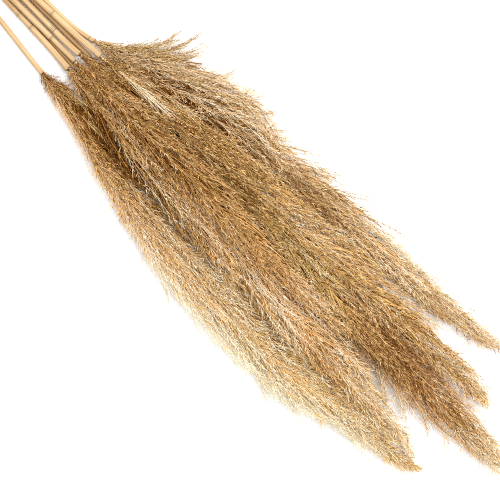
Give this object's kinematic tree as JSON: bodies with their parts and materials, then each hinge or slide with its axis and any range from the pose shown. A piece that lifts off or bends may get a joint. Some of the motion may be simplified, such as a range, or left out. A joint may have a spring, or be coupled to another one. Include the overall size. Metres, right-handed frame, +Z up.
{
  "type": "bunch of reeds",
  "caption": "Loose bunch of dried reeds lying on its side, with long feathery plumes overlapping in a low heap and straight jointed stems fanning from a narrow neck.",
  "frame": {"origin": "middle of the bunch's box, on the surface that it lies on", "axes": "+X along the bunch from the cut ends of the stems to the tips of the plumes, +Z up from the surface, +Y across the bunch"},
  "size_m": [0.809, 0.1673, 0.0436],
  "materials": {
    "reed_straw": "satin",
    "plume_golden": "matte",
    "plume_tan": "matte",
    "plume_olive": "matte",
    "plume_brown": "matte"
  },
  "bodies": {
    "root": {"stem_1": "reed_straw", "stem_2": "reed_straw", "stem_3": "reed_straw", "stem_4": "reed_straw", "stem_5": "reed_straw", "stem_6": "reed_straw", "stem_7": "reed_straw", "stem_8": "reed_straw", "plume_1": "plume_golden", "plume_2": "plume_tan", "plume_3": "plume_golden", "plume_4": "plume_tan", "plume_5": "plume_olive", "plume_6": "plume_brown", "plume_7": "plume_golden", "plume_8": "plume_tan"}
  },
  "joints": []
}
